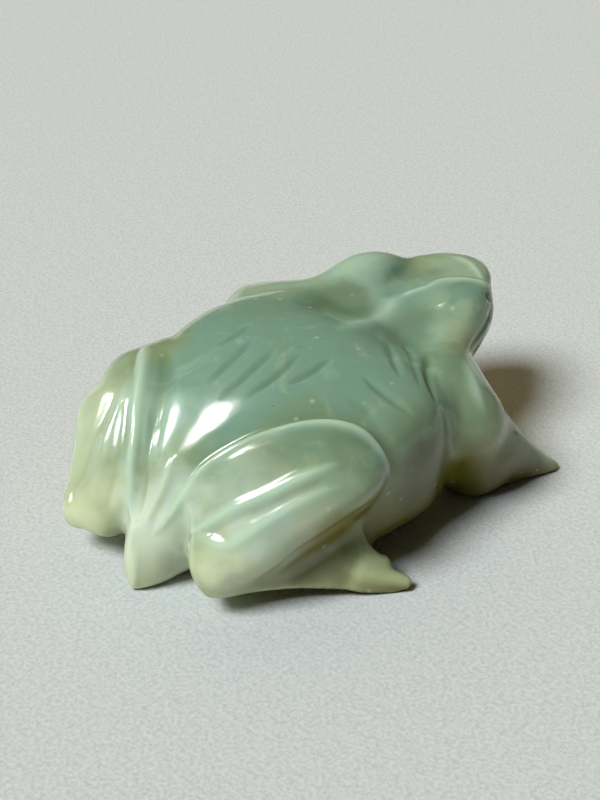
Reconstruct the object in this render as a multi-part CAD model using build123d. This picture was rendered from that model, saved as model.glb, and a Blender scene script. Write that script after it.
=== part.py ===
"""Carved jade frog, resting on its feet and the point of its rump.

The frog is one stone. Each node is one of the carver's forms, and neighbouring forms meet face to
face along the carved creases. X is across (the frog's left is +X), the frog faces -Y, Z is up.
The origin is on the ground, under the middle of the stone. Units are millimetres.
"""
from build123d import *
from collections import namedtuple
from math import cos, pi, sin
import os

# Driving dimensions
LENGTH = 91.0             # snout to rump
HEIGHT = 33.0             # ground to the top of the eye mounds
BACK_HEIGHT = 32.0        # ground to the crown of the back
BODY_WIDTH = 56.0         # flank to flank, without the legs
BELLY_GAP = 3.0           # the belly clears the ground between the feet
RUMP_WIDTH = 5.0          # the rump closes to this narrow upright edge

SNOUT_Y = -LENGTH / 2
RUMP_Y = LENGTH / 2
SECTION_POINTS = 12       # points on each rounded-square section
SQUARENESS = 2.8          # exponent of the section: 2 is an ellipse, higher is squarer
BELOW_GROUND = 1.0        # forms reach this far down before the ground cuts them flat
CUTTER = 200.0            # side of the boxes that trim the forms

# A station is a section across the body: where it is, how wide, how low and how high
Station = namedtuple("Station", "y half low high")
NECK = Station(SNOUT_Y + 24, 16.5, 9, 28.5)
BODY_STATIONS = [
    NECK,
    Station(SNOUT_Y + 31, 22, 5, 28.5),
    Station(SNOUT_Y + 39, 26, BELLY_GAP, BACK_HEIGHT - 1.5),
    Station(SNOUT_Y + 50, BODY_WIDTH / 2, BELLY_GAP, BACK_HEIGHT),
    Station(RUMP_Y - 31, 26.5, BELLY_GAP, BACK_HEIGHT - 1),
    Station(RUMP_Y - 21, 22, BELLY_GAP, BACK_HEIGHT - 4.5),
    Station(RUMP_Y - 13, 15.5, 1, 23),
    Station(RUMP_Y - 5.5, 8, -BELOW_GROUND, 17),
    Station(RUMP_Y, RUMP_WIDTH / 2, -BELOW_GROUND, 10),
]
HEAD_STATIONS = [
    NECK,
    Station(SNOUT_Y + 16, 14, 13.5, 29.5),
    Station(SNOUT_Y + 9, 10.5, 18, 29.5),
    Station(SNOUT_Y + 3, 6.5, 21.5, 29),
    Station(SNOUT_Y, 3, 23.5, 27.5),
]

# Eye mounds, longer than wide and set low in the head
EYE_RADII = (5.6, 9.0, 7.0)
EYE_CENTRE = (8.5, SNOUT_Y + 20, HEIGHT - EYE_RADII[2])

# Forelegs: shoulder, elbow and wrist centres with the limb's radius at each
SHOULDER = (17, SNOUT_Y + 26, 19.5)
ELBOW = (25.5, SNOUT_Y + 34, 16.5)
WRIST = (26, SNOUT_Y + 30, 5)
SHOULDER_RADIUS = 6.5
ELBOW_RADIUS = 7.2
WRIST_RADIUS = 5.5

# Forefoot: a flat pointed wedge on the ground, seen from above
FOREFOOT_OUTLINE = [
    (25, SNOUT_Y + 37),
    (20, SNOUT_Y + 32),
    (22, SNOUT_Y + 23),
    (29, SNOUT_Y + 13),
    (30.5, SNOUT_Y + 12.5),
    (32.5, SNOUT_Y + 22),
    (32, SNOUT_Y + 31),
]
FOREFOOT_HEIGHT = 9.0     # height at the heel of the hand
FOREFOOT_SLOPE = 18.0     # degrees, down towards the tip
FOREFOOT_DIRECTION = -75.0  # degrees from +X to the way the top slopes

# Hind legs: thigh and shank folded into one teardrop beside the rump
THIGH_CENTRE = (17.5, RUMP_Y - 20.5, 14)
THIGH_RADII = (12.0, 18.0, 11.5)
THIGH_YAW = 22.0          # degrees, the knee turns outwards
THIGH_PITCH = 16.0        # degrees, the knee is carried higher than the heel
HEEL = (13.5, RUMP_Y - 8.5, 5.5)
KNEE = (23, RUMP_Y - 25, 8)
HEEL_RADIUS = 5.5
KNEE_RADIUS = 7.0

# Hind foot: a flat wedge under the shank, from the heel out to three scalloped toes
HINDFOOT_OUTLINE = [
    (15, RUMP_Y - 27),
    (11.5, RUMP_Y - 12),
    (13, RUMP_Y - 9.5),
    (25, RUMP_Y - 20.5),
    (32, RUMP_Y - 28.5),
    (34, RUMP_Y - 31.5),
    (33, RUMP_Y - 33),
    (31, RUMP_Y - 32),
    (30, RUMP_Y - 34.5),
    (28.5, RUMP_Y - 34.5),
    (27.5, RUMP_Y - 33),
    (26.5, RUMP_Y - 35.5),
    (24.5, RUMP_Y - 35),
    (22, RUMP_Y - 31.5),
]
HINDFOOT_HEIGHT = 6.5     # height at the inner edge, under the shank
HINDFOOT_SLOPE = 27.0     # degrees, down to the outer edge
HINDFOOT_DIRECTION = 46.0  # degrees from +X to the way the top slopes


def section(station, squareness):
    """Closed rounded-square section across the body."""
    middle = (station.low + station.high) / 2
    rise = (station.high - station.low) / 2
    points = []
    for step in range(SECTION_POINTS):
        angle = 2 * pi * step / SECTION_POINTS
        across, up = cos(angle), sin(angle)
        shrink = (abs(across) ** squareness + abs(up) ** squareness) ** (-1 / squareness)
        points.append((station.half * across * shrink, middle + rise * up * shrink))
    plane = Plane((0, station.y, 0), x_dir=(1, 0, 0), z_dir=(0, -1, 0))
    return plane * make_face(Spline(points, periodic=True))


def lofted(stations, squareness):
    return loft([section(station, squareness) for station in stations])


def limb(start, start_radius, end, end_radius):
    """Round-ended limb that tapers between two centres: a cone tangent to two balls."""
    axis = Vector(*end) - Vector(*start)
    lean = (start_radius - end_radius) / axis.length
    across = (1 - lean * lean) ** 0.5
    rise = axis.length + (end_radius - start_radius) * lean
    standing = (Align.CENTER, Align.CENTER, Align.MIN)
    cone = Cone(start_radius * across, end_radius * across, rise, align=standing)
    solid = Sphere(start_radius) + Pos(0, 0, start_radius * lean) * cone
    solid += Pos(0, 0, axis.length) * Sphere(end_radius)
    return Plane(origin=start, z_dir=axis) * solid


def ellipsoid(centre, radii, yaw=0.0, pitch=0.0):
    return Pos(*centre) * Rot(0, 0, yaw) * Rot(pitch, 0, 0) * scale(Sphere(1), by=radii)


def wedge(outline, height, slope, direction):
    """Flat foot raised from its outline on the ground; the top slopes down from the first point."""
    block = extrude(make_face(Polyline(*outline, close=True)), height)
    first_x, first_y = outline[0]
    top = Pos(first_x, first_y, height) * Rot(0, 0, direction) * Rot(0, slope, 0)
    return block - top * Pos(0, 0, CUTTER / 2) * Box(CUTTER, CUTTER, CUTTER)


def above_ground(solid):
    return solid - Pos(0, 0, -CUTTER / 2) * Box(CUTTER, CUTTER, CUTTER)


def on_right(solid):
    """The frog's left form mirrored to its right side."""
    return mirror(solid, about=Plane.YZ)


def make_left_forms():
    """Forms on the frog's left, each cut back to the ones that overlie it."""
    hind_leg = ellipsoid(THIGH_CENTRE, THIGH_RADII, THIGH_YAW, THIGH_PITCH)
    hind_leg += limb(HEEL, HEEL_RADIUS, KNEE, KNEE_RADIUS)
    hind_foot = wedge(HINDFOOT_OUTLINE, HINDFOOT_HEIGHT, HINDFOOT_SLOPE, HINDFOOT_DIRECTION) - hind_leg
    foreleg = limb(SHOULDER, SHOULDER_RADIUS, ELBOW, ELBOW_RADIUS)
    foreleg += limb(ELBOW, ELBOW_RADIUS, WRIST, WRIST_RADIUS)
    eye = ellipsoid(EYE_CENTRE, EYE_RADII)
    foreleg -= eye
    forefoot = wedge(FOREFOOT_OUTLINE, FOREFOOT_HEIGHT, FOREFOOT_SLOPE, FOREFOOT_DIRECTION) - foreleg
    return {
        "hind_leg": hind_leg,
        "hind_foot": hind_foot,
        "foreleg": foreleg,
        "forefoot": forefoot,
        "eye": eye,
    }


def make_frog():
    left = make_left_forms()
    nodes = {}
    for name, solid in left.items():
        nodes[name + "_left"] = solid
        nodes[name + "_right"] = on_right(solid)
    head = lofted(HEAD_STATIONS, SQUARENESS)
    torso = lofted(BODY_STATIONS, SQUARENESS)
    for solid in nodes.values():
        torso -= solid
        head -= solid
    nodes["head"] = head
    nodes["torso"] = torso
    return {name: above_ground(solid) for name, solid in nodes.items()}


os.makedirs("parts", exist_ok=True)
for node_name, node_solid in make_frog().items():
    export_step(node_solid, "parts/" + node_name + ".step")
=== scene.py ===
"""A carved jade frog: one stone, sculpted as a smooth field of volumes, meshed, and then cut with strokes.

The sculpting part is in millimetres, in the CAD's own frame: the frog faces -Y, its left is +X, Z is up.
Where left and right differ, a table has the key -1 for the right side and 1 for the left.
"""
import bpy
import numpy as np
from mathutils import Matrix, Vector
from mathutils.kdtree import KDTree


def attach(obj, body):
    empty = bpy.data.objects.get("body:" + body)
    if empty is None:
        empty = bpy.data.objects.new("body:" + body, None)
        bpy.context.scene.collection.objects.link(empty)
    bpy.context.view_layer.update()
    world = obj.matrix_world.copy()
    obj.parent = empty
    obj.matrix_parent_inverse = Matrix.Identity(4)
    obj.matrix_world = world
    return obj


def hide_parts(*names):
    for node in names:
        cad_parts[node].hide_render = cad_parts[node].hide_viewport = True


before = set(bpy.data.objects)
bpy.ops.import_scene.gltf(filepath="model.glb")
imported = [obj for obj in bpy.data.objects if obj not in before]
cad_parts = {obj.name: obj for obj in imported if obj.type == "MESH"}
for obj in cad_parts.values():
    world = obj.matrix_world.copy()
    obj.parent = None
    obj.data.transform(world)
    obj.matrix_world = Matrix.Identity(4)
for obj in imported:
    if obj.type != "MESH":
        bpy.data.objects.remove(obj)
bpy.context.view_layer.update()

# --- Form: volumes -------------------------------------------------------------------------------

MESH_CELL = 0.35


def smin(a, b, k):
    """The smaller of two fields, which joins their volumes with a fillet of about k."""
    h = np.clip(k - np.abs(a - b), 0, None) / k
    return np.minimum(a, b) - h * h * h * k / 6


def smax(a, b, k):
    """The larger of two fields, which keeps what is inside both, with the edge rounded by about k."""
    return -smin(-a, -b, k)


def spun(degrees):
    """A turn about Z."""
    a = np.radians(degrees)
    return np.array([[np.cos(a), -np.sin(a), 0], [np.sin(a), np.cos(a), 0], [0, 0, 1]])


def ellipsoid(p, centre, radii, turn=0, power=2):
    """The field of an ellipsoid turned about Z. A power over 2 makes it boxier."""
    q = (p - np.array(centre, float)) @ spun(turn)
    r = np.array(radii, float)
    share = np.maximum(np.abs(q) / r, 1e-6)
    near = (share ** power).sum(1) ** (1 / power)
    slope = np.linalg.norm(share ** (power - 1) / r, axis=1) / near ** (power - 1)
    return (near - 1) / np.maximum(slope, 1e-6)


def cone(p, a, b, ra, rb):
    """A ball at a, a ball at b, and the cone that is tangent to both."""
    a, b = np.array(a, float), np.array(b, float)
    ba = b - a
    l2 = ba @ ba
    rr = ra - rb
    a2 = l2 - rr * rr
    pa = p - a
    y = pa @ ba
    z = y - l2
    x2 = ((pa * l2 - np.outer(y, ba)) ** 2).sum(1)
    y2 = y * y * l2
    z2 = z * z * l2
    k = np.sign(rr) * rr * rr * x2
    beyond_b = np.sqrt(x2 + z2) / l2 - rb
    beyond_a = np.sqrt(x2 + y2) / l2 - ra
    between = (np.sqrt(x2 * a2 / l2) + y * rr) / l2 - ra
    before_b = np.where(np.sign(y) * a2 * y2 < k, beyond_a, between)
    return np.where(np.sign(z) * a2 * z2 > k, beyond_b, before_b)


def chain(p, balls, k):
    """Cones from ball to ball, with a fillet of about k at each joint."""
    d = None
    for (a, ra), (b, rb) in zip(balls, balls[1:]):
        link = cone(p, a, b, ra, rb)
        d = link if d is None else smin(d, link, k)
    return d


def curve(xs, ys):
    """A smooth function through points, by cubic pieces."""
    xs, ys = np.array(xs, float), np.array(ys, float)
    slopes = np.gradient(ys, xs)

    def value(x):
        x = np.clip(x, xs[0], xs[-1])
        i = np.clip(np.searchsorted(xs, x) - 1, 0, len(xs) - 2)
        h = xs[i + 1] - xs[i]
        t = (x - xs[i]) / h
        start = (2 * t**3 - 3 * t**2 + 1) * ys[i] + (t**3 - 2 * t**2 + t) * h * slopes[i]
        return start + (3 * t**2 - 2 * t**3) * ys[i + 1] + (t**3 - t**2) * h * slopes[i + 1]
    return value


# The torso's stations along Y: half width, back height, belly height, the crown of the back, and the tuck
# of the sides towards the belly.
BODY_Y = [-28, -21, -15, -9, -2, 6, 14, 22, 30, 36, 41, 46]
BODY_HALF = curve(BODY_Y, [13, 17, 21, 25.5, 28, 28, 26.5, 22.5, 16, 10.5, 6, 1.5])
BODY_TOP = curve(BODY_Y, [27, 27.5, 28, 30, 31.8, 32, 31, 28.5, 24.5, 20.5, 16, 11])
BODY_BELLY = curve(BODY_Y, [14, 9, 4, 3, 3, 3, 2.5, 2, 1, 0, -1, -1])
BODY_CROWN = curve(BODY_Y, [.012, .01, .009, .008, .0065, .0065, .008, .012, .02, .035, .07, .12])
BODY_TUCK = curve(BODY_Y, [.1, .1, .1, .1, .08, .08, .1, .2, .4, .5, .4, .2])
CHEST_Y, RUMP_Y = -28, 45.5
TUCK_SHARE = 0.75                 # the sides tuck in below this share of the torso's height
BACK_ROUND, BELLY_ROUND, END_ROUND = 13, 8, 2


def torso(p):
    x, y, z = p.T
    half, top, belly, crown = BODY_HALF(y), BODY_TOP(y), BODY_BELLY(y), BODY_CROWN(y)
    low = np.clip(1 - (z - belly) / (top - belly) / TUCK_SHARE, 0, 1)
    half = half * (1 - BODY_TUCK(y) * low * low * (3 - 2 * low))
    back = (z - top + crown * x * x) / np.sqrt(1 + (2 * crown * x) ** 2)
    d = smax(back, np.abs(x) - half, BACK_ROUND)
    d = smax(d, belly - z, BELLY_ROUND)
    return smax(d, np.maximum(y - RUMP_Y, CHEST_Y - y), END_ROUND)


# The head's stations along Y: half width, height of the top and height of the chin.
HEAD_Y = [-47, -45.5, -42.5, -38.5, -33.5, -27.5, -21.5, -15]
HEAD_HALF = curve(HEAD_Y, [0, 2.5, 6, 9.0, 11.2, 12.8, 14.0, 15.5])
HEAD_TOP = curve(HEAD_Y, [28, 29, 30, 30.2, 30, 29.5, 28.5, 28])
HEAD_CHIN = curve(HEAD_Y, [25, 24, 22.5, 21, 19.5, 17.5, 14, 10])
HEAD_FRONT, HEAD_BACK = -46, -15
HEAD_ROUND = 5
HEAD_CROWN = .004
CHIN_SLOPE = .9
JAW_TUCK, JAW_TOP, JAW_DEPTH = 0.12, 24, 10       # the jaw narrows by a share, over a depth below its top
# Each eye mound's centre, radii and turn. The carver cut the two unevenly: the left one stands up, and the
# right one is low.
EYE = {
    -1: ((-8.6, -28.5, 24.6), (5.6, 10.5, 6.0), 14),
    1: ((10.2, -25.2, 25.7), (5.8, 10.6, 7.4), -18),
}
EYE_RAMP = ((10.0, -24.5, 25.8), (13.5, -13.0, 22.4), 6.2, 6.0)     # the left mound's long back slope
EYE_FILLET, RAMP_FILLET = 3.5, 4


def head(p):
    x, y, z = p.T
    half = HEAD_HALF(y) * (1 - JAW_TUCK * np.clip((JAW_TOP - z) / JAW_DEPTH, 0, 1))
    d = smax(z - HEAD_TOP(y) + HEAD_CROWN * x * x, np.abs(x) - half, HEAD_ROUND)
    d = smax(d, (HEAD_CHIN(y) - z) * CHIN_SLOPE, HEAD_ROUND)
    d = smax(d, np.maximum(HEAD_FRONT - y, y - HEAD_BACK), 3)
    for centre, radii, turn in EYE.values():
        d = smin(d, ellipsoid(p, centre, radii, turn), EYE_FILLET)
    return smin(d, cone(p, *EYE_RAMP), RAMP_FILLET)


# The foreleg's balls, as on the left side, with their radii. The left elbow is carved higher, and so is the
# shoulder.
ELBOW = {-1: (22.8, -12.6, 16.9), 1: (24.6, -9.8, 20.4)}
ELBOW_RADIUS = 6.0
SHOULDER_XY, SHOULDER_ABOVE_ELBOW, SHOULDER_RADIUS = (14.5, -16.5), 2.5, 5.4
FOREARM_SHIFT = 1.5               # the forearm starts this far in front of the elbow, and below it
WRIST = (22.0, -17.5, 5.5), 5.7
WEB = ((16, -18, 17.5), (22, -20, 8), 5.6, 5.8)
HAND = ((23.1, -19.5, 8.6), (29.7, -32.4, 0.5), 5.8, 0.8)
HAND_SOLE = ((21.5, -18, 4.0), (29.5, -32.1, 0.5), 5, 0.8)
ELBOW_FILLET, WEB_FILLET, SOLE_FILLET, WRIST_FILLET = 7, 6, 3, 5


def foreleg(p, s):
    q = p * (s, 1, 1)
    x, y, z = ELBOW[s]
    wrist, wrist_radius = WRIST
    shoulder = (*SHOULDER_XY, z + SHOULDER_ABOVE_ELBOW)
    upper = cone(q, shoulder, (x, y, z), SHOULDER_RADIUS, ELBOW_RADIUS)
    lower = cone(q, (x, y - FOREARM_SHIFT, z - FOREARM_SHIFT), wrist, ELBOW_RADIUS, wrist_radius)
    arm = smin(smin(upper, lower, ELBOW_FILLET), cone(q, *WEB), WEB_FILLET)
    hand = smin(cone(q, *HAND), cone(q, *HAND_SOLE), SOLE_FILLET)
    return smin(arm, hand, WRIST_FILLET)


# A folded hind leg is two leaves that point back to the heel, the thigh above and the shank below. Each has
# its middle, its long axis, the way its broad face looks, its radii and, where it is boxier, its power.
# Chains of balls fill the shank from the heel to the knee.
LEAVES = {
    -1: [((-14.4, 23.4, 17.6), (-.56, -.77, .27), (-.34, .61, .71), (16.4, 8.45, 8.4), 2.8),
         ((-17.6, 25.6, 14.4), (-.50, -.70, .44), (-.42, .62, .60), (17.0, 6.4, 7.8))],
    1: [((15.9, 24.6, 15.4), (.53, -.77, .22), (.32, .62, .71), (20.6, 9.6, 8.9)),
        ((18.6, 25.0, 13.0), (.47, -.80, .36), (.42, .62, .60), (17.0, 6.6, 7.6))],
}
SHANK = {
    -1: [[((-14.0, 38.2, 9.4), 4.6), ((-16.6, 32.0, 12.5), 5.7), ((-19.0, 23.0, 16), 5.6)]],
    1: [[((15.3, 42.9, 7.6), 2.8), ((25.6, 26.5, 13), 5.6), ((26.8, 18.6, 17.2), 6.2)],
        [((12.1, 42.4, 9.0), 3.0), ((23, 24.5, 14.8), 6.8)],
        [((9.3, 41.4, 8.3), 3.1), ((19.5, 25, 16), 6.8)]],
}
LEAF_FILLET, CHAIN_FILLET, LEG_FILLET = 3, 3, 4
FOOT_FILLET = {-1: 6.5, 1: 3}
# The left leg ends in a flat, clear of the ground: a point on it, the way it looks, and its lowest edge.
HEEL_FLAT = ((12.1, 45.7, 7.8), (-.335, .942, .10))
HEEL_UNDER = 5.0


def leaf(p, centre, along, facing, radii, power=2.3):
    """A boxy ellipsoid with its first radius along one direction and its last one towards another."""
    a = np.array(along, float)
    a /= np.linalg.norm(a)
    f = np.array(facing, float)
    f -= (f @ a) * a
    f /= np.linalg.norm(f)
    q = (p - np.array(centre, float)) @ np.stack([a, np.cross(f, a), f], 1)
    return ellipsoid(q, (0, 0, 0), radii, power=power)


def hind_leg(p, s):
    thigh, shank = LEAVES[s]
    d = smin(leaf(p, *thigh), leaf(p, *shank), LEAF_FILLET)
    for balls in SHANK[s]:
        d = smin(d, chain(p, balls, CHAIN_FILLET), LEG_FILLET)
    if s > 0:
        middle, out = HEEL_FLAT
        d = smax(smax(d, (p - middle) @ np.array(out), 2), HEEL_UNDER - p[:, 2], 1.2)
    return d


# A hind foot is a long wedge, which two toes end. Its sole's outer edge, seen from above, from heel to toe:
SOLE = {-1: ((-14.8, 39.0), (-32.4, 15.0)), 1: ((16.4, 37.0), (32.4, 15.0))}
HEEL_LIFT = 5.4                   # the sole rises this much from the toes to the heel
FOOT_SLOPE = np.radians(58)       # the outer face, from level
FOOT_EDGE = 0.8                   # height of the outer edge
FOOT_WIDTH = 12
FOOT_HEIGHT = 9
TOES = [((26.4, 17.8, 4.6), (28.7, 15.2, 4.1), 2.0, 1.2), ((26.8, 18.6, 2.6), (32.6, 14.2, 1.5), 2.9, 1.2)]
TOE_FILLET = 1.8


def hind_foot(p, s):
    """Measured by u along the sole's edge from the heel, w out from it, and z up from the sole."""
    (x0, y0), (x1, y1) = SOLE[s]
    length = np.hypot(x1 - x0, y1 - y0)
    ex, ey = (x1 - x0) / length, (y1 - y0) / length
    u = (p[:, 0] - x0) * ex + (p[:, 1] - y0) * ey
    w = ((p[:, 1] - y0) * ex - (p[:, 0] - x0) * ey) * s
    z = p[:, 2] - HEEL_LIFT * np.clip(1 - u / length, 0, 1)
    outer = w * np.sin(FOOT_SLOPE) + (z - FOOT_EDGE) * np.cos(FOOT_SLOPE)
    d = smax(outer, -FOOT_WIDTH - w, 2)
    d = smax(smax(d, z - FOOT_HEIGHT, 2), -z, 1)
    # The front leans back as it goes in and up.
    front = (u - length) * .85 + np.maximum(-w - 1.5, 0) * .30 + np.maximum(z, 0) * .45
    d = smax(smax(d, front, 1.5), -2 - u, 2)
    for toe in TOES:
        d = smin(d, cone(p * (s, 1, 1), *toe), TOE_FILLET)
    return d


# A scoop behind the right eye mound, and the shoulder blades, which fill the room by the forelegs.
NAPE_HOLLOW = (-10.5, -17, 33), (5.3, 7.5, 7)
BLADES = {-1: ((-16.0, -11.5, 20.0), (8, 8, 6.5)), 1: ((15.0, -7.5, 22.9), (11, 10.5, 7))}
NECK_FILLET, BLADE_FILLET, FORELEG_FILLET = 5, 5, 6
NAPE_ROUND, SOLE_ROUND = 8, 1.0
# A hind leg stands crisply out of the back, with the first fillet above this height. The second one is
# added over the drop below it, where the leg melts into the flank.
THIGH_FILLETS, CRISP_HEIGHT, MELT_DROP = (1.2, 3.5), 22, 12


def field(p):
    """The whole stone's field: negative inside it."""
    z = p[:, 2]
    d = smin(torso(p), head(p), NECK_FILLET)
    low = np.clip((CRISP_HEIGHT - z) / MELT_DROP, 0, 1)
    crisp, melted = THIGH_FILLETS
    for s in (-1, 1):
        d = smin(d, ellipsoid(p, *BLADES[s]), BLADE_FILLET)
        d = smin(d, foreleg(p, s), FORELEG_FILLET)
        leg = smin(hind_leg(p, s), hind_foot(p, s), FOOT_FILLET[s])
        d = smin(d, leg, crisp + melted * low * low)
    d = smax(d, -ellipsoid(p, *NAPE_HOLLOW), NAPE_ROUND)
    return smax(d, -z, SOLE_ROUND)


# --- Mesh ----------------------------------------------------------------------------------------


def gradient(p, h=0.05):
    """The field's slope, which points out of the stone."""
    return np.stack([(field(p + e) - field(p - e)) / (2 * h) for e in np.eye(3) * h], 1)


def onto_surface(p, rounds=3, reach=0.5):
    """Moves points onto the surface by Newton steps of at most reach."""
    for _ in range(rounds):
        g = gradient(p)
        step = -field(p)[:, None] * g / np.maximum((g * g).sum(1, keepdims=True), 1e-6)
        far = np.linalg.norm(step, axis=1, keepdims=True)
        p = p + step * np.minimum(1, reach / np.maximum(far, 1e-9))
    return p


BLOCK_CELLS = 5
BLOCK_MARGIN = 1.3                # a block whose middle is within this many widths is near the surface


def near_field(grid, step, chunk=400000):
    """The field at grid points, in chunks. A block far from the surface is only read in its middle."""
    block = BLOCK_CELLS * step
    keys = np.floor(grid / block).astype(int)
    keys -= keys.min(0)
    size = keys.max(0) + 1
    code = (keys[:, 0] * size[1] + keys[:, 1]) * size[2] + keys[:, 2]
    blocks, where = np.unique(code, return_inverse=True)
    places = np.stack(np.unravel_index(blocks, size), 1)
    low = np.floor(grid.min(0) / block).astype(int)
    values = field((places + low + .5) * block)[where]
    near = np.abs(values) < block * BLOCK_MARGIN
    values[near] = np.concatenate([field(c) for c in np.array_split(grid[near], near.sum() // chunk + 1)])
    return values


def surface_nets(lo, hi, step):
    """A quad mesh of the field's zero surface: one point in each grid cell that it passes through."""
    lo, hi = np.array(lo, float), np.array(hi, float)
    n = np.ceil((hi - lo) / step).astype(int) + 1
    axes = [lo[i] + step * np.arange(n[i]) for i in range(3)]
    grid = np.stack(np.meshgrid(*axes, indexing="ij"), -1).reshape(-1, 3)
    values = near_field(grid, step).reshape(n)
    inside = values < 0
    corners = {}
    count = np.zeros(n - 1, int)
    for i, j, k in np.ndindex(2, 2, 2):
        part = (slice(i, n[0] - 1 + i), slice(j, n[1] - 1 + j), slice(k, n[2] - 1 + k))
        corners[i, j, k] = values[part]
        count += inside[part]
    active = (count > 0) & (count < 8)
    index = np.full(n - 1, -1)
    index[active] = np.arange(active.sum())
    place = np.zeros((active.sum(), 3))
    crossings = np.zeros(active.sum())
    for axis in range(3):
        for a, b in np.ndindex(2, 2):
            start, end = [a, b], [a, b]
            start.insert(axis, 0)
            end.insert(axis, 1)
            v0, v1 = corners[tuple(start)][active], corners[tuple(end)][active]
            cross = (v0 < 0) != (v1 < 0)
            point = np.repeat(np.array(start, float)[None], len(v0), 0)
            point[:, axis] += np.where(cross, v0 / np.where(cross, v0 - v1, 1), 0)
            place += point * cross[:, None]
            crossings += cross
    verts = lo + step * (np.argwhere(active) + place / crossings[:, None])
    quads = []
    for axis in range(3):
        others = [i for i in range(3) if i != axis]
        low = [slice(1, n[i] - 1) for i in range(3)]
        high = list(low)
        low[axis], high[axis] = slice(0, n[axis] - 1), slice(1, n[axis])
        a, b = inside[tuple(low)], inside[tuple(high)]
        base = np.argwhere(a != b)
        outward = a[tuple(base.T)] != (axis == 1)
        base[:, others] += 1
        ring = []
        for d0, d1 in ((1, 1), (0, 1), (0, 0), (1, 0)):
            cell = base.copy()
            cell[:, others[0]] -= d0
            cell[:, others[1]] -= d1
            ring.append(index[tuple(cell.T)])
        ring = np.stack(ring, 1)
        ring[~outward] = ring[~outward][:, ::-1]
        quads.append(ring)
    return verts, np.concatenate(quads)


# --- Strokes -------------------------------------------------------------------------------------

NOSTRIL = [(10.3, -34.5, 29.5), (11.5, -35, 27.5)]
HAND_EDGE = [(28, -21, 12.5), (28.5, -26.5, 7), (29.5, -29.5, 3.5), (30.5, -31, 1.5)]


def mirrored(points):
    return [(-x, y, z) for x, y, z in points]


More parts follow.
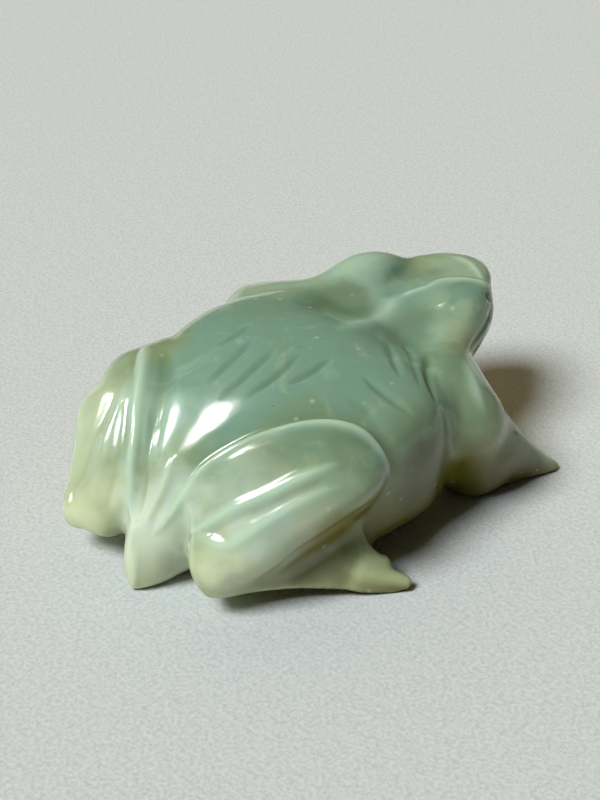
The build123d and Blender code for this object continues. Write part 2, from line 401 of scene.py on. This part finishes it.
# Each stroke is a rough line on the stone: its height (negative cuts in), its half width, the share of its
# length over which each end fades out, and its points, which are moved onto the surface.
STROKES = [
    # The rim of the right thigh, from the tail point over the hip and round the knee, and the hollow
    # outside it.
    (.60, 1.0, .12, [(-3, 42.5, 11), (-5, 38, 16.5), (-8, 31.5, 22.5), (-12, 24.5, 26),
                     (-17.5, 19, 27.5), (-23.5, 14.5, 25.5), (-27, 14, 21.5), (-27, 13.5, 18.5)]),
    (-.55, 1.8, .25, [(-4, 38, 17.5), (-6, 31, 24), (-10, 24, 27.5), (-16, 17, 28.5),
                      (-22, 12, 27.5), (-27, 10.5, 23)]),
    (-.32, 2.0, .30, [(-6, 39, 13.5), (-10, 34, 19), (-15, 28, 23), (-20, 22, 25), (-24, 18, 24)]),
    # The two ridges of the right shank and the dip between them.
    (.65, 1.2, .30, [(-7.5, 38, 11), (-11, 37, 14.5), (-16, 33, 18.5), (-21.5, 25, 22.5),
                     (-24, 20.5, 23.5)]),
    (.55, 1.2, .30, [(-11, 39, 6), (-13, 38, 8.5), (-17, 34.5, 13.5), (-21.5, 27.5, 19),
                     (-25, 22, 21)]),
    (-.30, 1.0, .30, [(-9, 38.5, 8.5), (-13.5, 36, 14), (-19, 30.5, 18.5), (-23.5, 23.5, 22)]),
    # The soft dip where the shank meets the foot.
    (-.50, 1.6, .25, [(-16.5, 35, 7), (-20.5, 31.5, 11), (-23, 27, 13), (-25.5, 22.5, 15.5),
                      (-27, 17, 18)]),
    # The left thigh's rim, the groove inside it, and the fine ridges that run with them to the tail point.
    (.65, 1.1, .10, [(26.5, 16.5, 24.5), (22, 21, 25), (14.5, 29, 23.5), (9.5, 34, 20),
                     (6, 38, 15.5), (.5, 43.5, 12)]),
    (-.75, 1.8, .15, [(22, 16, 26.5), (14.5, 23, 25.5), (10.5, 28, 23.5), (5, 35.5, 20),
                      (2, 39.5, 16.5), (-.5, 43.5, 12)]),
    (.30, .55, .35, [(12.5, 28.5, 23.5), (7.5, 34, 19.5), (3, 40, 15.5)]),
    (.30, .55, .35, [(8.5, 29.5, 23), (4.5, 35.5, 19.5), (1.5, 39.5, 17), (-.5, 43, 13)]),
    (.40, .8, .35, [(0, 34, 21.5), (-1.5, 38.5, 18), (-1.5, 42.5, 13)]),
    (-.40, 1.2, .35, [(-3, 34, 21.5), (-3, 38.5, 17.5), (-2.5, 42.5, 12)]),
    # The left leg: two long ridges, the groove between them, and the groove between leg and rump.
    (.22, 1.8, .40, [(29, 22, 19), (27.5, 28.5, 16), (24, 34, 13.5), (18.5, 39.5, 11),
                     (17, 42.5, 7.5)]),
    (.28, 1.8, .40, [(24.5, 21.5, 24), (18.5, 29.5, 22), (14.5, 35.5, 18.5), (11.5, 39, 13.5),
                     (11, 40.5, 7.5)]),
    (-.45, 2.0, .35, [(25, 22, 23.5), (20.5, 29.5, 21.5), (18, 35, 17), (15.5, 39, 12), (13, 42.5, 6)]),
    (-.50, 1.6, .30, [(17, 29.5, 22.5), (11.5, 35, 19.5), (8.5, 38.5, 15), (9.5, 38.5, 7)]),
    # The keel under the tail point.
    (.22, 1.0, .45, [(-1.5, 44.5, 9.5), (-1.5, 45, 6), (-.5, 45, 1)]),
    # Long shallow cuts across the back: the left set, then the right set behind the shoulder.
    (-.58, .7, .30, [(10, 14.5, 30), (9.5, 10.5, 31), (9.5, 6.5, 31.5)]),
    (-.62, .7, .30, [(4.5, 22.5, 28), (4.5, 17, 30), (5.5, 9.5, 31.5)]),
    (-.62, .7, .30, [(0, 24, 27.5), (-.5, 17.5, 30), (0, 10, 31.5)]),
    (-.62, .7, .30, [(-4, 21.5, 28.5), (-5, 15.5, 30.5), (-4.5, 9, 31.5)]),
    (-.58, .7, .30, [(-8, 16, 30), (-9, 11.5, 31), (-9, 6, 31.5)]),
    (-.45, .8, .35, [(-9.5, -7.5, 29.5), (-15, -2.5, 30), (-19.5, 1, 29.5)]),
    (-.50, .8, .35, [(-8.5, -14.5, 26.5), (-17, -5.5, 29), (-22.5, -.5, 28)]),
    (-.45, .8, .35, [(-15.5, 6, 30.5), (-21, 6, 29), (-25.5, 4.5, 26)]),
    (-.30, .8, .35, [(-17, 11.5, 29.5), (-22, 10.5, 27.5)]),
    (-.60, .9, .25, [(-14, -12.5, 26), (-21.5, -4.5, 27.5), (-25.5, -1.5, 25.5)]),
    # The crease between arm and body, on both sides.
    (-.45, 2.6, .35, [(-13, -14, 26), (-19.5, -7.5, 27.5), (-24.5, -3.5, 25.5),
                      (-27, -3.5, 20.5), (-26.5, -6, 14)]),
    (-.45, 2.6, .35, [(13, -14, 26), (19.5, -6, 27.5), (25, -1, 26.5), (27.5, -1.5, 20.5),
                      (26.5, -5, 14)]),
    # The ridge over the right shoulder.
    (.40, 1.4, .40, [(-18.4, -17.6, 24.8), (-22.3, -14.8, 23.8), (-26.3, -12.3, 22.5),
                     (-28.4, -11.7, 20.4)]),
    # The head: the crest from the neck over the right eye, the trough beside it and the edge at the snout.
    (.40, 1.8, .30, [(-3.4, -1, 31.9), (-2.7, -10.9, 29.2), (-1.6, -16.4, 28.6),
                     (-.2, -21.1, 28.9), (-1, -25.5, 29.5)]),
    (.42, .9, .15, [(0, -22.5, 29), (-1, -25.5, 29.5), (-2, -28, 29.5), (-2.5, -31.5, 30),
                    (-4.5, -33.5, 30), (-7, -35, 30), (-9, -36, 29.5), (-10.5, -36, 28.5)]),
    (-.60, 2.2, .30, [(5.5, -24, 29), (4, -29, 30), (2, -34, 30), (0, -39, 30)]),
    (.35, .8, .30, [(3, -41, 30), (-2, -40.5, 30), (-5, -39, 30), (-9, -36, 29.5)]),
    # The mouth, from one corner of the jaw round the snout to the other, and the two nostrils.
    (-.55, .8, .12, [(-16, -22, 22.5), (-14, -28, 24.5), (-12, -34, 26), (-8, -40, 27),
                     (0, -45.5, 27), (8, -40, 27), (12, -34, 26), (14, -28, 24.5),
                     (16, -22, 22.5)]),
    (-1.1, 1.0, .40, mirrored(NOSTRIL)),
    (-1.1, 1.0, .40, NOSTRIL),
    # The hands' upper edges, which sharpen towards the tip.
    (.45, .9, .20, mirrored(HAND_EDGE)),
    (.45, .9, .20, HAND_EDGE),
]


def along_line(points, spacing=0.2):
    """Even points along a smooth line through a stroke's points, and each one's place from 0 to 1."""
    pts = np.array(points, float)
    chord = np.concatenate([[0], np.cumsum(np.linalg.norm(np.diff(pts, axis=0), axis=1))])
    t = np.linspace(0, chord[-1], int(chord[-1] / spacing) + 2)
    place = t / chord[-1]
    if len(pts) > 2:
        line = np.stack([curve(chord, pts[:, i])(t) for i in range(3)], 1)
    else:
        line = pts[0] + (pts[1] - pts[0]) * place[:, None]
    return line, place


END_WIDTH = .35                   # the share of its width that a stroke has left at its ends


def apply_strokes(verts, normals):
    """Raises or cuts the mesh along each stroke. Returns the new points, and how far each one went."""
    change = np.zeros(len(verts))
    for height, width, fade, points in STROKES:
        line, place = along_line(points)
        line = onto_surface(line, 6, 1.0)
        reach = 3 * width
        near = np.where(((verts > line.min(0) - reach) & (verts < line.max(0) + reach)).all(1))[0]
        tree = KDTree(len(line))
        for i, co in enumerate(line):
            tree.insert(co, i)
        tree.balance()
        found = [tree.find(verts[i]) for i in near]
        dist = np.array([f[2] for f in found])
        where = place[[f[1] for f in found]]
        ends = np.clip(np.minimum(where, 1 - where) / fade, 0, 1)
        ends = np.sin(ends * np.pi / 2)
        # Across, a stroke is a bell curve, which gets lower and narrower towards the ends.
        bell = width * (END_WIDTH + (1 - END_WIDTH) * ends)
        change[near] += height * ends * np.exp(-(dist / bell) ** 2)
    return verts + normals * change[:, None], change


MESHED_LOW, MESHED_HIGH = (-38, -48, -1.5), (38, 48, 36)
TONE_REACH = 6                    # how far from the surface the field is read for the hollow and thin tones


def sculpt():
    """The stone's points and quads, and its tones: values from 0 to 1 at each point, which the material
    uses to paint light and shade.
    """
    verts, quads = surface_nets(MESHED_LOW, MESHED_HIGH, MESH_CELL)
    verts = onto_surface(verts, 2)
    normals = gradient(verts)
    normals /= np.linalg.norm(normals, axis=1, keepdims=True)
    # The hollow tone marks where painted shade goes, and the thin tone marks where painted light shines
    # through.
    hollow_shade = 1 - field(verts + normals * TONE_REACH) / TONE_REACH
    thin_glow = 1 + field(verts - normals * TONE_REACH) / TONE_REACH
    # The side tone is painted shade, on faces that don't look up. It fades out towards the rump and is
    # stronger low down.
    turned = (.55 - normals[:, 2]) / .8
    ahead = ((40 - verts[:, 1]) / 18).clip(0, 1)
    below = ((25 - verts[:, 2]) / 15).clip(.1, 1)
    side_shade = turned * ahead * below
    verts, change = apply_strokes(verts, normals)
    tones = {
        # Raised strokes get painted light and cut strokes painted shade.
        "ridge_light": change / .6,
        "groove_shade": (-change - .35) / .6,
        "hollow_shade": (hollow_shade - .08) / .45,
        "thin_glow": (thin_glow - .05) / .5,
        "side_shade": side_shade,
    }
    return verts, quads, {name: tone.clip(0, 1) for name, tone in tones.items()}


# --- The stone in Blender ------------------------------------------------------------------------

MM = 0.001
verts, quads, tones = sculpt()
# No stroke takes the stone below the ground.
verts[:, 2] = np.maximum(verts[:, 2], 0)
mesh = bpy.data.meshes.new("jade_frog")
mesh.from_pydata((verts * MM).tolist(), [], quads.tolist())
mesh.polygons.foreach_set("use_smooth", np.ones(len(quads), bool))
for name, values in tones.items():
    tone = mesh.attributes.new(name, "FLOAT", "POINT")
    tone.data.foreach_set("value", values.astype(np.float32))
mesh.update()
frog = bpy.data.objects.new("jade_frog", mesh)
bpy.context.scene.collection.objects.link(frog)
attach(frog, "root")
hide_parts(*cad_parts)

# --- Materials -----------------------------------------------------------------------------------


def linear(r, g, b):
    """A colour given as 0-255 screen values, as the shaders want it."""
    c = np.array([r, g, b]) / 255
    return (*np.where(c <= .04045, c / 12.92, ((c + .055) / 1.055) ** 2.4), 1)


def new_material(name):
    m = bpy.data.materials.new(name)
    m.use_nodes = True
    m.node_tree.nodes.clear()
    return m, m.node_tree


def add(tree, kind, links=(), **values):
    """Adds a node. Values are set on its properties or sockets; links are (socket, source socket)."""
    n = tree.nodes.new(kind)
    for key, value in values.items():
        if hasattr(n, key):
            setattr(n, key, value)
        else:
            n.inputs[key.replace("_", " ")].default_value = value
    for socket, source in links:
        tree.links.new(source, n.inputs[socket])
    return n


def noise(tree, place, scale, detail=3, rough=.5, **more):
    n = add(tree, "ShaderNodeTexNoise", [("Vector", place)],
            Scale=scale, Detail=detail, Roughness=rough, **more)
    return n.outputs[0]


def ramp(tree, source, lo, hi):
    """0 at lo and 1 at hi, smooth between them and flat beyond. Hi may be the smaller one."""
    return add(tree, "ShaderNodeMapRange", [("Value", source)], interpolation_type="SMOOTHSTEP",
               From_Min=lo, From_Max=hi).outputs[0]


def maths(tree, operation, a, b):
    n = add(tree, "ShaderNodeMath", operation=operation)
    for socket, source in zip(n.inputs, (a, b)):
        if isinstance(source, (int, float)):
            socket.default_value = source
        else:
            tree.links.new(source, socket)
    return n.outputs[0]


def mix(tree, factor, a, b, blend="MIX"):
    """Colour a with colour b over it: in this node they are sockets 6 and 7, and the result is socket 2."""
    n = add(tree, "ShaderNodeMix", data_type="RGBA", blend_type=blend)
    for socket, source in ((n.inputs[0], factor), (n.inputs[6], a), (n.inputs[7], b)):
        if isinstance(source, (int, float, tuple)):
            socket.default_value = source
        else:
            tree.links.new(source, socket)
    return n.outputs[2]


def layer(tree, below, mask, strength, tint, blend="MIX"):
    """A colour over another one, as strongly as the mask and the strength say."""
    return mix(tree, maths(tree, "MULTIPLY", mask, strength), below, linear(*tint), blend)


def specks(tree, place, scale, size, share):
    """Small round spots: 1 inside, 0 outside. Only a share of the cells has one."""
    cell = add(tree, "ShaderNodeTexVoronoi", [("Vector", place)], Scale=scale)
    spot = ramp(tree, cell.outputs["Distance"], size, size * .4)
    draw = add(tree, "ShaderNodeSeparateColor", [("Color", cell.outputs["Color"])]).outputs[0]
    return maths(tree, "MULTIPLY", spot, maths(tree, "LESS_THAN", draw, share))


def surface(tree, shader, height, strength, distance):
    """Makes a shader the material's surface, with a bump from a height."""
    bump = add(tree, "ShaderNodeBump", [("Height", height)], Strength=strength, Distance=distance)
    tree.links.new(bump.outputs[0], shader.inputs["Normal"])
    out = add(tree, "ShaderNodeOutputMaterial")
    tree.links.new(shader.outputs[0], out.inputs[0])


# The stone's colours and the tints of its painted light and shade, as 0-255 screen values.
# The olive low front is partly painted shade, and the cream low rear is partly painted light.
BACK, LOW_FRONT_OLIVE_AND_SHADE, LOW_REAR_CREAM_AND_LIGHT = (128, 162, 141), (134, 144, 94), (222, 228, 190)
THIN_GLOW_TINT, HOLLOW_SHADE_TINT = (206, 214, 172), (106, 120, 68)
HAZE, DIM, SIDE_SHADE_TINT = (196, 210, 184), (134, 146, 94), (118, 112, 30)
RIDGE_LIGHT_TINT, GROOVE_SHADE_TINT = (194, 220, 198), (200, 208, 172)
FLECK, PIT = (226, 234, 220), (92, 98, 72)
# Clouds in the stone, and patches of painted shade and painted sheen: centre and reach in mm, strength,
# colour.
CLOUDS_SHADE_AND_SHEEN = [
    ((10, -22, 32), 12, .60, (192, 213, 187)),
    ((-17, 22, 25), 15, .40, (120, 134, 88)),
    # Painted shade on the right flank.
    ((-27, 1, 15), 12, .70, (74, 77, 14)),
    ((21, 18, 26), 9, .50, (140, 150, 92)),
    ((-2, 44, 8), 14, .42, (220, 230, 200)),
    ((-14, 34, 18), 10, .40, (196, 212, 192)),
    ((8, 31, 22), 12, .50, (186, 220, 204)),
    # Partly painted sheen: the pale tail patch stands partly for the polish's glint.
    ((-4, 39, 16), 12, .40, (222, 242, 230)),
    ((-16, 42, 9), 9, .60, (238, 248, 218)),
    ((20, -11, 29), 11, .55, (180, 198, 168)),
    ((-1, -20, 29.5), 6, .45, (176, 200, 182)),
    ((2, -33, 30), 8, .40, (152, 154, 112)),
    ((-15, -26, 26), 7, .50, (190, 202, 166)),
    ((-9, -23, 28), 7, .30, (120, 138, 110)),
    # Painted shade in the nape hollow.
    ((5.5, -12, 30), 11, .62, (88, 110, 70)),
    ((-24, 18, 26), 6, .30, (104, 124, 92)),
    ((-30, -12, 18), 8, .40, (176, 188, 150)),
    # Painted shade on the right hand, which turns away from the light.
    ((-27, -21, 6), 10, .65, (72, 69, 14)),
    # Painted shadow on the right hind foot, under the leg.
    ((-24, 24, 4), 8, .40, (92, 92, 40)),
    # Painted shade under the right thigh.
    ((-25.7, 22.7, 13), 7, .45, (118, 106, 16)),
    ((-19, 33, 15), 8, .35, (172, 204, 200)),
    ((21, 38, 12), 13, .35, (172, 194, 158)),
]
TONES = ("ridge_light", "groove_shade", "hollow_shade", "thin_glow", "side_shade")


def jade_material():
    m, t = new_material("jade")
    place = add(t, "ShaderNodeTexCoord").outputs["Object"]
    _, y, z = add(t, "ShaderNodeSeparateXYZ", [("Vector", place)]).outputs
    ridge_light, groove_shade, hollow_shade, thin_glow, side_shade = [
        add(t, "ShaderNodeAttribute", attribute_name=name).outputs["Fac"] for name in TONES]
    # Teal green above. Below, it is olive in front, partly painted shade on the side turned from the light,
    # and cream at the rear, partly painted light where the light falls. Drift makes the borders wander.
    clouds = noise(t, place, 60, 5, .55)
    drift = maths(t, "MULTIPLY", maths(t, "SUBTRACT", clouds, .5), .030)
    low = ramp(t, maths(t, "ADD", z, drift), .031, .009)
    rear = ramp(t, maths(t, "ADD", y, drift), .008, .030)
    colour = mix(t, low, linear(*BACK), mix(t, rear, linear(*LOW_FRONT_OLIVE_AND_SHADE), linear(*LOW_REAR_CREAM_AND_LIGHT)))
    # Thin parts are pale with painted light shining through them, and hollows are dark with painted shade.
    # Haze and dim patches go all through the stone.
    colour = layer(t, colour, thin_glow, .35, THIN_GLOW_TINT)
    colour = layer(t, colour, hollow_shade, .8, HOLLOW_SHADE_TINT)
    haze = ramp(t, noise(t, place, 110, 5, .6, Distortion=1.6), .52, .74)
    colour = layer(t, colour, haze, .30, HAZE)
    dim = ramp(t, noise(t, place, 34, 4, .5), .50, .70)
    colour = layer(t, colour, dim, .45, DIM)
    # Painted shade on the faces that turn away from the light.
    colour = layer(t, colour, side_shade, .92, SIDE_SHADE_TINT)
    for centre, reach, strength, tint in CLOUDS_SHADE_AND_SHEEN:
        away = add(t, "ShaderNodeVectorMath", [(0, place)], operation="DISTANCE")
        away.inputs[1].default_value = [c * MM for c in centre]
        near = ramp(t, maths(t, "ADD", away.outputs["Value"], drift), reach * MM, reach * MM * .2)
        colour = layer(t, colour, near, strength, tint)
    # Ridges are pale with painted light caught on them, grooves are darkened with painted shade, and white
    # flecks and polishing pits lie over everything.
    colour = layer(t, colour, ridge_light, .75, RIDGE_LIGHT_TINT)
    colour = layer(t, colour, groove_shade, .7, GROOVE_SHADE_TINT, "MULTIPLY")
    colour = layer(t, colour, specks(t, place, 300, .18, .18), .26, FLECK)
    pits = specks(t, place, 330, .10, .12)
    colour = layer(t, colour, pits, .55, PIT)
    polish = add(t, "ShaderNodeMapRange", [("Value", noise(t, place, 260, 4))], To_Min=.10, To_Max=.22)
    shader = add(t, "ShaderNodeBsdfPrincipled", [("Base Color", colour), ("Roughness", polish.outputs[0])],
                 IOR=1.54, Subsurface_Weight=.7, Subsurface_Scale=.003, Coat_Weight=.06, Coat_Roughness=.05)
    shader.inputs["Subsurface Radius"].default_value = (1.0, .90, .42)
    wear = maths(t, "SUBTRACT", noise(t, place, 700, 4), maths(t, "MULTIPLY", pits, 1.5))
    surface(t, shader, wear, .25, .00006)
    return m


def paper_material():
    m, t = new_material("paper")
    place = add(t, "ShaderNodeTexCoord").outputs["Object"]
    grain = noise(t, place, 1400, 5, .7)
    colour = mix(t, ramp(t, grain, .33, .67), linear(193, 198, 198), linear(219, 223, 222))
    blotch = ramp(t, noise(t, place, 420, 3), .35, .7)
    colour = layer(t, colour, blotch, .25, (224, 222, 217))
    shader = add(t, "ShaderNodeBsdfPrincipled", [("Base Color", colour)], Roughness=.9)
    shader.inputs["Specular IOR Level"].default_value = .2
    surface(t, shader, grain, .35, .0002)
    return m


mesh.materials.append(jade_material())

# --- Floor, light and camera ---------------------------------------------------------------------

# Metres from here on.
FLOOR_HALF = 2.5
floor_mesh = bpy.data.meshes.new("floor")
floor_corners = [(x * FLOOR_HALF, y * FLOOR_HALF, 0) for x, y in ((-1, -1), (1, -1), (1, 1), (-1, 1))]
floor_mesh.from_pydata(floor_corners, [], [(0, 1, 2, 3)])
floor_mesh.materials.append(paper_material())
floor = bpy.data.objects.new("floor", floor_mesh)
bpy.context.scene.collection.objects.link(floor)

LIT_POINT = Vector((0, 0, .015))
LAMP_DISTANCE = 1.0


def aimed(data, direction):
    """Puts a light in the scene, in a direction from the frog and looking at it."""
    lamp = bpy.data.objects.new(data.name, data)
    bpy.context.scene.collection.objects.link(lamp)
    way = Vector(direction).normalized()
    lamp.location = LIT_POINT + way * LAMP_DISTANCE
    lamp.rotation_euler = way.to_track_quat("Z", "Y").to_euler()
    return lamp


def window(name, direction, width, height, power):
    """A pane that the polish mirrors. It lights nothing: the suns do that."""
    data = bpy.data.lights.new(name, "AREA")
    data.shape = "RECTANGLE"
    data.size, data.size_y = width, height
    data.energy = power
    aimed(data, direction).visible_diffuse = False


def sun(name, direction, strength, softness, tint):
    """Light from one side, softened over that many degrees. The polish doesn't mirror it."""
    data = bpy.data.lights.new(name, "SUN")
    data.energy = strength
    data.angle = np.radians(softness)
    data.color = tint
    aimed(data, direction).visible_glossy = False


sun("daylight", (.124, .596, .79), 3.3, 23, (.94, .98, 1))
sun("warm_fill", (.50, -.60, .62), .60, 70, (1, .78, .36))
window("window", (.540, .178, .824), .25, .20, 5.0)
window("window_low", (.90, .14, .41), .13, .30, 2.4)
world = bpy.data.worlds.new("room")
world.use_nodes = True
background = world.node_tree.nodes["Background"]
background.inputs["Color"].default_value = (1, .84, .62, 1)
background.inputs["Strength"].default_value = .03
bpy.context.scene.world = world
bpy.context.scene.view_settings.view_transform = "Standard"

# The camera looks at a point on the ground, from behind the frog and to its right.
AIM = Vector((.0214, -.0185, 0))
DISTANCE = .300
LENS = 67.5
toward = Vector((-.585, .627, .515)).normalized()
camera_data = bpy.data.cameras.new("camera")
camera_data.lens = LENS
camera_data.clip_start = .01
camera = bpy.data.objects.new("camera", camera_data)
bpy.context.scene.collection.objects.link(camera)
camera.location = AIM + toward * DISTANCE
camera.rotation_euler = toward.to_track_quat("Z", "Y").to_euler()
bpy.context.scene.camera = camera
